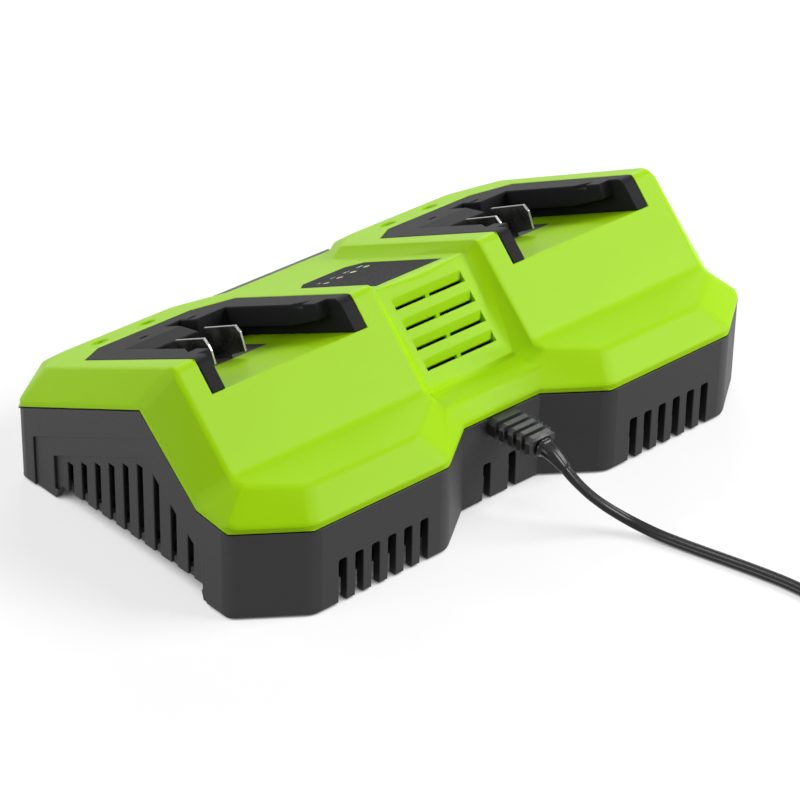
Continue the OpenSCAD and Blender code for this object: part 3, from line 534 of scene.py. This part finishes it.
def soften(obj, creases, rest_mm, segments=3):
    """Gives each edge its own bevel. creases is a list of (lines, width): an edge whose two
    ends lie within 0.15 mm of a line gets that width; the others get the small rest width."""
    ends, turn, narrow = edge_facts(obj.data)
    width = np.where(turn > LEAST_TURN, np.minimum(rest_mm, NARROW_SHARE * narrow), 0)
    found = 0
    for lines, wide in creases:
        for p, q in lines:
            p, q = np.asarray(p, float), np.asarray(q, float)
            far = np.linalg.norm(q - p)
            along = (ends - p) @ ((q - p) / far)
            off = np.linalg.norm(ends - p - along[..., None] * (q - p) / far, axis=-1)
            near = (off < ON_LINE_MM) & (along > -PAST_END_MM) & (along < far + PAST_END_MM)
            on = near.all(1) & (abs(turn) > CREASE_TURN)
            width[on] = wide
            found += int(on.sum())
    widest = max([rest_mm] + [w for _, w in creases])
    weight = obj.data.attributes.new("bevel_weight_edge", "FLOAT", "EDGE")
    weight.data.foreach_set("value", (width / widest).astype(np.float32))
    bevel = obj.modifiers.new("moulded_radius", "BEVEL")
    bevel.limit_method, bevel.width, bevel.segments = "WEIGHT", widest * MM, segments
    bevel.use_clamp_overlap, bevel.miter_outer = False, "MITER_SHARP"
    obj.data.shade_smooth()
    obj.data.set_sharp_from_angle(angle=math.radians(SHARP_DEGREES))
    normals = obj.modifiers.new("face_weighted_normals", "WEIGHTED_NORMAL")
    normals.keep_sharp, normals.weight = True, FACE_WEIGHT
    print(obj.name, "edges", len(turn), "on creases", found, "widest", widest)
    return obj


print("other outer edges are rounded from a turn of", LEAST_TURN, "degrees")

# %% [markdown]
# ## Where the folds run
# The long folds of the cover run between a few corner points. The corners lie on three rings
# above each other: the edge of the top, the upper edge of the lip and its lower edge. One half
# of one bay is written down, with y counted from the front face, and mirrored for the rest.

# %% Corner points of a bay
FRONT, DEPTH = -87.7, 175.4
BAY_X, BAY_HALF, FACE_HALF, SIDE_END = 80.25, 62.25, 34.95, 155.8
RIDGE_Y, RIDGE_Z, BACK_SLOPE = 66.1, 89.1, 0.4637
FOLD_Y, FOLD_Z, APRON_SLOPE = 31.7, 54.7, 0.12
# (y, height) of the line where the cover meets the base
JOINT = ((0, 39.6), (19.6, 39.6), (38.5, 41.3), (73, 70.6), (SIDE_END, 33.4), (DEPTH, 33.4))
LIP_TOP, LIP_FOOT, BASE_FOOT_Z = 3.2, 0.6, 0.6


def top_height(y):
    """Back slope behind the ridge, 45 degrees before it, low apron before the fold."""
    return np.where(y > RIDGE_Y, RIDGE_Z - BACK_SLOPE * (y - RIDGE_Y),
                    np.where(y > FOLD_Y, RIDGE_Z - (RIDGE_Y - y),
                             FOLD_Z - APRON_SLOPE * (FOLD_Y - y)))


top_xy = np.array([(48.65, 154.7), (50.7, RIDGE_Y), (50.05, FOLD_Y), (48.95, 26.0),
                   (28.45, 11.5), (28.75, 170.7)])
lip_xy = np.array([(BAY_HALF, SIDE_END), (BAY_HALF, 73), (BAY_HALF, 38.5), (BAY_HALF, 19.6),
                   (FACE_HALF, 0), (FACE_HALF, DEPTH)])
top_ring = np.column_stack([top_xy, top_height(top_xy[:, 1])])
joint_z = np.interp(lip_xy[:, 1], *np.array(JOINT).T)
lip_ring = np.column_stack([lip_xy, joint_z + LIP_TOP])
low_ring = np.column_stack([lip_xy, joint_z + LIP_FOOT])
CORNERS = np.vstack([top_ring, lip_ring, low_ring])
print("corner heights of the top:", top_ring[:, 2].round(1))

# %% [markdown]
# ## Widths of the folds
# The broad folds of a moulding are where the eye reads its softness: the ridge and the outer
# corners are wide rounds, the folds towards the middle section are tight. Each group of lines
# gets one width, and where two groups share an edge the later one counts.

# %% Lines of the cover's folds
ACROSS_HALF = 46
SIDE_FROM_X, MIDDLE_TO_X = 35, 20


def bay_lines(points, pairs):
    """Segments between corner points of one bay, mirrored about its middle, for both bays.
    A pair with one number joins a corner to its own mirror image."""
    out = []
    for a, b in pairs:
        for s in (1, -1):
            p, q = points[a] * (s, 1, 1), points[b] * (s if a != b else -s, 1, 1)
            for x in (-BAY_X, BAY_X):
                out.append((p + (x, FRONT, 0), q + (x, FRONT, 0)))
    return out


def parted(lines, x):
    """The lines that start farther than x from the charger's middle plane, and the others."""
    outer = [line for line in lines if abs(line[0][0]) > x]
    return outer, [line for line in lines if abs(line[0][0]) <= x]


# folds of the middle section, front to back: lip, front edge, hollow fold, ridge, rear edge
middle = [(17.3, 42.8), (22.5, 49.3), (35.5, 49.3), (69.5, 83.0), (173.5, 34.8)]
ACROSS = [((-ACROSS_HALF, y + FRONT, z), (ACROSS_HALF, y + FRONT, z)) for y, z in middle]
OUTER_SPOKES, INNER_SPOKES = parted(bay_lines(CORNERS, [(i, 6 + i) for i in range(6)]),
                                    SIDE_FROM_X)
OUTER_UPRIGHTS, INNER_UPRIGHTS = parted(bay_lines(CORNERS, [(6 + i, 12 + i) for i in range(6)]),
                                        MIDDLE_TO_X)
COVER_CREASES = [
    # the ridges, then the hollow folds at the foot of the steep slopes
    (bay_lines(CORNERS, [(1, 1)]) + ACROSS[3:4], 3.0),
    (bay_lines(CORNERS, [(2, 2)]) + ACROSS[2:3], 2.2),
    # the folds that run down from the top's corners to the lip
    (OUTER_SPOKES, 4.0),
    (INNER_SPOKES, 1.2),
    # the edge of the top
    (bay_lines(CORNERS, [(0, 1), (1, 2), (2, 3), (3, 4), (4, 4), (5, 5), (5, 0)]), 1.8),
    (ACROSS[1:2] + ACROSS[4:5], 1.5),
    # the upright corners of the lip, then its upper edge
    (OUTER_UPRIGHTS, 4.0),
    (INNER_UPRIGHTS, 1.8),
    (bay_lines(CORNERS, [(6, 7), (7, 8), (8, 9), (9, 10), (10, 10), (11, 6), (11, 11)])
     + ACROSS[:1], 0.6),
]
print("crease lines:", sum(len(c[0]) for c in COVER_CREASES))

# %% [markdown]
# ## Green cover
# The cover is one moulding with large flat facets. Its ridge and outer folds are broad, soft
# rounds of three to four millimetres; the fold at the foot of the steep slope is a hollow one.

# %% Build the cover
COVER_REST = 0.35
# cuts through the middle of the cover, and through the middle and the two dents of each bay
DENTS_X = (-16.5, 8.4)
COVER_CUTS = [0.0] + [side * BAY_X + x for side in (-1, 1) for x in (DENTS_X[0], 0, DENTS_X[1])]
cover = soften(copied("green_cover", "top_cover", COVER_CUTS), COVER_CREASES, COVER_REST,
               segments=4)
cover.data.materials.append(COVER_GREEN)

# %% [markdown]
# ## Black base and rail frames
# The base is a slotted tub, and its outer upright corners carry the same four-millimetre
# rounds as the cover above them. The rail frames are separate mouldings that drop into the
# cover. Both are copied and softened in the same way, with smaller radii elsewhere; only where
# the frames cross the ridge they follow its three-millimetre round.

# %% Build the base and the frames
BASE_REST, RAIL_REST, RIDGE_ROUND = 0.3, 0.6, 3.0
RAIL_HALF = 40
BASE_RING = np.vstack([np.column_stack([lip_xy, joint_z]),
                       np.column_stack([lip_xy, np.full(6, BASE_FOOT_Z)])])
BASE_OUTER, BASE_INNER = parted(bay_lines(BASE_RING, [(i, 6 + i) for i in (0, 3, 4, 5)]),
                                MIDDLE_TO_X)
BASE_CREASES = [
    (BASE_OUTER, 4.0),
    (BASE_INNER, 2.2),
    (bay_lines(BASE_RING, [(6, 9), (9, 10), (10, 10), (11, 6), (11, 11)]), 1.0),
]
base = soften(copied("black_base", "base_housing"), BASE_CREASES, BASE_REST)
base.data.materials.append(BASE_BLACK)
RAIL_RIDGE = [((s * BAY_X - RAIL_HALF, RIDGE_Y + FRONT, RIDGE_Z),
               (s * BAY_X + RAIL_HALF, RIDGE_Y + FRONT, RIDGE_Z)) for s in (-1, 1)]
for side in ("left", "right"):
    rails = soften(copied("black_rails_" + side, "rail_frame_" + side),
                   [(RAIL_RIDGE, RIDGE_ROUND)], RAIL_REST, segments=4)
    rails.data.materials.append(RAIL_BLACK)

# %% [markdown]
# ## Strain relief
# The relief is moulded on to the lead and clipped into the base. Its four long corners are
# cut off at 45 degrees, so each rib has eight sides. A bevel of one segment makes such a cut.

# %% Build the strain relief
RELIEF_CUT, RELIEF_END_CUT, RELIEF_REST = 2.2, 0.9, 0.2
RELIEF_LOW, RELIEF_HIGH, END_HALF, END_Y = 30.8, 40.0, 7.0, -7.0
# (half width, y) of the relief: straight inside the base, then narrower towards its end
relief_ring = np.array([(8.5, 17.3), (8.5, 14.3), (END_HALF, END_Y)])
RELIEF_LINES = [((sx * a[0], a[1] + FRONT, z), (sx * b[0], b[1] + FRONT, z))
                for sx in (-1, 1) for z in (RELIEF_LOW, RELIEF_HIGH)
                for a, b in zip(relief_ring[:-1], relief_ring[1:])]
RELIEF_END = [((-END_HALF, END_Y + FRONT, z), (END_HALF, END_Y + FRONT, z))
              for z in (RELIEF_LOW, RELIEF_HIGH)]
RELIEF_END += [((sx * END_HALF, END_Y + FRONT, RELIEF_LOW),
                (sx * END_HALF, END_Y + FRONT, RELIEF_HIGH)) for sx in (-1, 1)]
relief = soften(copied("ribbed_strain_relief", "strain_relief"),
                [(RELIEF_LINES, RELIEF_CUT), (RELIEF_END, RELIEF_END_CUT)], RELIEF_REST,
                segments=1)
relief.data.materials.append(RELIEF_BLACK)

# %% [markdown]
# ## Sleeve and plug
# The relief ends in a collar and a thin sleeve that tapers down to the lead. The sleeve is the
# lead's own outline carried along the first 13.5 mm of its path and grown outwards, by 2.3 mm
# at the relief and by almost nothing at its end. The plug is the same soft PVC with generous
# radii.

# %% Build the sleeve and the plug
PLUG_ROUND = 1.6
PATH_AT = np.concatenate([[0], np.cumsum(np.linalg.norm(np.diff(CORD_PATH, axis=0), axis=1))])
out_mm = np.array([0.0, 1.4, 1.9, 2.3, 3.5, 6.0, 9.0, 12.0, 13.5])
grow_mm = np.array([2.3, 2.2, 1.7, 1.45, 1.35, 1.0, 0.6, 0.25, 0.04])
along = np.column_stack([np.interp(out_mm, PATH_AT, CORD_PATH[:, k]) for k in range(3)])
points, faces = swept(along, CORD_OUTLINE, (0, -1, 0))
middles = np.repeat(along, OUTLINE_POINTS, axis=0)
outline_mm = np.tile(np.linalg.norm(CORD_OUTLINE, axis=1), len(along))
growth = 1 + np.repeat(grow_mm, OUTLINE_POINTS) / outline_mm
sleeve = new_piece("relief_sleeve", middles + (points - middles) * growth[:, None], faces)
sleeve.data.materials.append(CORD_BLACK)

plug = soften(copied("moulded_plug", "plug_body"), [], PLUG_ROUND, segments=4)
plug.data.materials.append(CORD_BLACK)

print("sleeve:", len(sleeve.data.vertices), "points,", out_mm[-1], "mm long")

# %% [markdown]
# ## Contact blades
# The blades are stamped from copper strip about a millimetre thick and tinned. Their faces
# look dark, because they mirror the dark bay; the cut edges, rounded by the punch, catch the
# light as thin bright lines. Rolling leaves lines a few hundredths of a millimetre apart; they
# are drawn far coarser, because such fine ones would vanish between the pixels.

# %% Metals and blades
LINE_MM = 1.43
BLADE_ROUND = 0.22


def metal(name, colour, rough, stretch, relief_mm):
    """Noise pulled out along one axis draws rolling lines in the gloss and the surface."""
    material, tree, out, place = new_material(name)
    pulled = add(tree, "ShaderNodeMapping", {"Vector": place, "Scale": stretch})
    lines = add(tree, "ShaderNodeTexNoise", {"Vector": pulled.outputs[0],
                                             "Scale": 1000 / LINE_MM, "Detail": 3.0})
    gloss = add(tree, "ShaderNodeMapRange", {
        "Value": lines.outputs["Fac"], "From Min": NOISE_LOW, "From Max": NOISE_HIGH,
        "To Min": rough - 0.07, "To Max": rough + 0.08})
    bump = add(tree, "ShaderNodeBump", {"Height": lines.outputs["Fac"], "Strength": 0.5,
                                        "Distance": relief_mm * MM})
    skin = add(tree, "ShaderNodeBsdfPrincipled", {
        "Base Color": linear(colour), "Metallic": 1.0, "Roughness": gloss.outputs[0],
        "Normal": bump.outputs[0]})
    tree.links.new(skin.outputs[0], out.inputs["Surface"])
    return material


# tinned copper strip: grey-white, satin, rolled along the blade
TINNED = metal("tinned_copper_strip", "#8F8E8A", 0.26, (1.0, 0.12, 0.12), 0.01)
for side in ("left", "right"):
    blades = soften(copied("blades_" + side, "contact_blades_" + side), [], BLADE_ROUND,
                    segments=2)
    blades.data.materials.append(TINNED)

# %% [markdown]
# ## Indicator label
# The label is a dark polyester film, printed on its back, stuck in a shallow recess. Four
# tinted windows let the lights behind it through: two for faults, two for charge. Beside each
# window stands a small icon: a cross, a thermometer, a part-full and a full battery. The rest
# of the film is left bare. An image would blur up close, so the marks are flat shapes, three
# hundredths of a millimetre above the film.

# %% Shapes on the label
MARK_LIFT = 0.03
SLOPE = math.atan(BACK_SLOPE)
LABEL_U, LABEL_V = np.array((1.0, 0, 0)), np.array((0, math.cos(SLOPE), -math.sin(SLOPE)))
LABEL_UP = np.array((0, math.sin(SLOPE), math.cos(SLOPE)))
# the marks are placed from the ridge of the middle section
LABEL_ZERO = np.array((0, middle[3][0] + FRONT, middle[3][1])) + MARK_LIFT * LABEL_UP


def on_label(name, shapes):
    """One flat face per shape; a shape is a list of (across, down the slope) in mm."""
    uv = np.vstack(shapes)
    ends = np.cumsum([len(shape) for shape in shapes])
    faces = [list(range(end - len(shape), end)) for shape, end in zip(shapes, ends)]
    return new_piece(name, LABEL_ZERO + uv[:, :1] * LABEL_U + uv[:, 1:] * LABEL_V, faces)


def disc(u, v, radius, count=28):
    """A regular polygon; it runs anticlockwise as seen from above the label."""
    a = np.linspace(0, 2 * math.pi, count, endpoint=False)
    return np.column_stack([u + radius * np.cos(a), v + radius * np.sin(a)])


def bar(u, v, half_u, half_v, turn=0.0):
    """A rectangle about (u, v), turned by an angle in radians."""
    box = np.array([(-1, -1), (1, -1), (1, 1), (-1, 1)]) * (half_u, half_v)
    c, s = math.cos(turn), math.sin(turn)
    return box @ np.array([(c, s), (-s, c)]) + (u, v)


def battery(u, v, fill):
    """Four sides of a case, a nub, and a block as long as the charge."""
    case = [bar(u, v - 0.75, 1.5, 0.14), bar(u, v + 0.75, 1.5, 0.14), bar(u - 1.36, v, 0.14, 0.61),
            bar(u + 1.36, v, 0.14, 0.61), bar(u + 1.66, v, 0.16, 0.3)]
    return case + [bar(u - 1.02 + fill, v, fill, 0.4)]


print("label slopes by", round(math.degrees(SLOPE), 1), "degrees")

# %% [markdown]
# ## Windows and icons
# Windows and icons stand in two rows across the label, one icon to each window. Each row is
# one mesh, so that one material dresses it.

# %% Build the label's windows and icons
WINDOWS_U, WINDOW_V, ICON_V, WINDOW_RADIUS = (-11.0, -3.5, 4.0, 11.5), 50, 55, 1.5
windows = on_label("label_windows", [disc(u, WINDOW_V, WINDOW_RADIUS) for u in WINDOWS_U])
CROSS = [bar(-11, ICON_V, 1.3, 0.2, turn) for turn in (0.785, -0.785)]
THERMOMETER = [disc(-4.3, ICON_V, 0.55, 16), bar(-2.9, ICON_V, 0.95, 0.24)]
icons = on_label("label_icons", CROSS + THERMOMETER + battery(4, ICON_V, 0.45)
                 + battery(11.5, ICON_V, 1.02))
print("label marks:", len(windows.data.polygons), "windows,", len(icons.data.polygons), "strokes")

# %% [markdown]
# ## Windows, board and glass
# Three finishes need a pattern of their own. The four windows share one material, with a tint
# for each. The board's solder mask covers copper tracks, which stand a little proud. The glass
# tube of the fuse lets light through with a slight haze.

# %% Materials with a pattern of their own
WINDOW_HAZE_MM, GLASS_HAZE_MM = 1.11, 3.33
TRACK_M, TRACK_LONG_M, TRACK_ROW_M = 0.0002, 0.006, 0.0024
TRACK_PROUD_MM = 0.035


def banded(name, colours, at_mm, width_mm, rough):
    """Hard steps of colour across x: the place in mm runs through a ramp without blending."""
    material, tree, out, place = new_material(name)
    x = add(tree, "ShaderNodeSeparateXYZ", {0: place})
    run = add(tree, "ShaderNodeMapRange", {"Value": x.outputs["X"], "From Min": -width_mm * MM,
                                           "From Max": width_mm * MM})
    ramp = add(tree, "ShaderNodeValToRGB", {"Fac": run.outputs[0]})
    ramp.color_ramp.interpolation = "CONSTANT"
    stops = ramp.color_ramp.elements
    while len(stops) < len(colours):
        stops.new(1.0)
    for stop, colour, at in zip(stops, colours, at_mm):
        stop.position, stop.color = 0.5 + at / (2 * width_mm), linear(colour)
    haze = add(tree, "ShaderNodeTexNoise", {"Vector": place, "Scale": 1000 / WINDOW_HAZE_MM})
    gloss = add(tree, "ShaderNodeMapRange", {"Value": haze.outputs["Fac"], "To Min": rough - 0.05,
                                             "To Max": rough + 0.05})
    skin = add(tree, "ShaderNodeBsdfPrincipled", {"Base Color": ramp.outputs[0],
                                                  "Roughness": gloss.outputs[0]})
    tree.links.new(skin.outputs[0], out.inputs["Surface"])
    return material


def circuit_board(name):
    """Solder mask: the joints between bricks 6 mm long and 2.4 mm high stand for the copper
    tracks. They are lighter, and the bump lifts them by the copper's thickness."""
    material, tree, out, place = new_material(name)
    tracks = add(tree, "ShaderNodeTexBrick", {
        "Vector": place, "Scale": 1.0, "Color1": linear("#1B5A36"), "Color2": linear("#1A5633"),
        "Mortar": linear("#3B8A55"), "Mortar Size": TRACK_M, "Brick Width": TRACK_LONG_M,
        "Row Height": TRACK_ROW_M})
    bump = add(tree, "ShaderNodeBump", {"Height": tracks.outputs["Fac"], "Strength": 0.4,
                                        "Distance": TRACK_PROUD_MM * MM})
    skin = add(tree, "ShaderNodeBsdfPrincipled", {"Base Color": tracks.outputs["Color"],
                                                  "Roughness": 0.32, "Normal": bump.outputs[0]})
    tree.links.new(skin.outputs[0], out.inputs["Surface"])
    return material


def fuse_glass(name):
    """Clear tube: a faint haze in the roughness, and light passes through."""
    material, tree, out, place = new_material(name)
    haze = add(tree, "ShaderNodeTexNoise", {"Vector": place, "Scale": 1000 / GLASS_HAZE_MM})
    gloss = add(tree, "ShaderNodeMapRange", {"Value": haze.outputs["Fac"], "To Min": 0.02,
                                             "To Max": 0.14})
    skin = add(tree, "ShaderNodeBsdfPrincipled", {
        "Base Color": linear("#EEF2EE"), "Roughness": gloss.outputs[0], "IOR": 1.5,
        "Transmission Weight": 0.9})
    tree.links.new(skin.outputs[0], out.inputs["Surface"])
    return material


# pale ink printed on the film: even and dull, so that each icon reads as a flat mark
PALE_INK = moulded("pale_printing_ink", "#B9C8A2", "#B2C29B", 0.4, 0.8, 0.004)
icons.data.materials.append(PALE_INK)
print("strokes in", PALE_INK.name)

# %% [markdown]
# ## The parts that stay as measured
# Everything inside the case, and the contact holders, label, feet, screws, rating plate, tie
# and plug pins, keeps its measured shape and gets a material. The record names a material slot
# for each part, so one table from slot to material is enough. Each entry says what the stuff
# really is.

# %% Materials of the remaining parts
STUFF = {
    # printed polyester film: even, near black and matt
    "label_film": moulded("printed_polyester_film", "#131315", "#111113", 0.55, 1.2, 0.006, 0.05),
    # tinted windows: unlit, so they show as dull colour
    "lens_clear": banded("tinted_windows", ("#6A5A54", "#C2544C", "#B9C04E", "#7CC858"),
                         (-30, -7.25, 0.25, 7.75), 30, 0.22),
    # contact holder, glass-filled nylon: deep black in the bay
    "carrier_black": moulded("black_glass_filled_nylon", "#1A1A1B", "#1D1D1E", 0.45, 0.5, 0.03),
    # glass-epoxy board under green solder mask: smooth, with raised lighter tracks
    "board_green": circuit_board("glass_epoxy_board"),
    # pressed and fired ferrite: charcoal, dull, slightly rough
    "ferrite": moulded("sintered_ferrite", "#2E2F31", "#38393B", 0.6, 0.35, 0.05),
    # polyester tape over the winding: yellow and glossy, with slow waves
    "winding_tape": moulded("yellow_winding_tape", "#D9B62E", "#D2AC26", 0.28, 3.0, 0.04),
    # shrink sleeve over the can: glossy black with pressure marks
    "capacitor_sleeve": moulded("shrink_sleeve", "#17181A", "#1E1F22", 0.25, 2.0, 0.03),
    # extruded aluminium: satin, with faint upright lines
    "heat_sink_metal": metal("extruded_aluminium", "#C4C6C8", 0.36, (1.0, 1.0, 0.08), 0.02),
    # moulded epoxy of the transistors: dull black with a very fine grain
    "package_black": moulded("moulded_epoxy", "#1C1C1D", "#202021", 0.55, 0.3, 0.02),
    # enamelled copper: warm and glossy
    "copper_wire": metal("enamelled_copper", "#B8683A", 0.24, (1.0, 0.1, 1.0), 0.02),
    # drawn glass tube: clear and glossy
    "fuse_glass": fuse_glass("fuse_glass_tube"),
    # moulded polyamide of the terminal block: strong green, satin
    "terminal_green": moulded("green_polyamide", "#2E8B4A", "#2A8245", 0.42, 0.5, 0.02),
    # moulded PBT of the fan: semi-matt black
    "fan_black": moulded("black_pbt", "#1D1D1F", "#212123", 0.42, 0.5, 0.03),
    # extruded PVC insulation of the inner leads: even colour, soft gloss
    "lead_blue": moulded("blue_pvc", "#2C5FA8", "#28589E", 0.35, 0.6, 0.02),
    "lead_red": moulded("red_pvc", "#B3332B", "#A92F28", 0.35, 0.6, 0.02),
    # moulded thermoplastic rubber of the feet: fully matt
    "foot_rubber": moulded("black_rubber", "#1B1B1B", "#222222", 0.75, 0.4, 0.05),
    # zinc-plated steel: bright, slightly bluish, and evenly mottled
    "screw_steel": metal("zinc_plated_steel", "#BFC3C8", 0.26, (1.0, 1.0, 1.0), 0.01),
    # rolled aluminium foil of the blank rating plate: satin, lined along x
    "plate_film": metal("blank_aluminium_foil", "#C9CCCE", 0.4, (0.1, 1.0, 1.0), 0.01),
    # woven nylon of the hook-and-loop band: rough, hardly any shine
    "tie_black": moulded("woven_nylon_band", "#1A1A1C", "#262628", 0.85, 0.9, 0.12),
    # nickel-plated brass pins: bright, polished round
    "pin_metal": metal("nickel_plated_brass", "#D2CFC6", 0.18, (0.1, 1.0, 1.0), 0.005),
}
windows.data.materials.append(STUFF["lens_clear"])
print("materials in the table:", len(STUFF))

# %% [markdown]
# ## Dressing the rest
# The slots of the pieces that were built above are left out here. For all other parts the
# record's own slot name picks the material, so a part can't end up with none.

# %% Dress the measured parts
SHAPED = ("base_black", "cover_green", "frame_black", "contact_metal", "cord_black")
kept = [(p["node"], p["material_slot"]) for p in frame["record"]["subparts"]
        if p["material_slot"] not in SHAPED]
for node, slot in kept:
    NODES[node].data.materials.clear()
    NODES[node].data.materials.append(STUFF[slot])
print("kept parts:", len(kept))
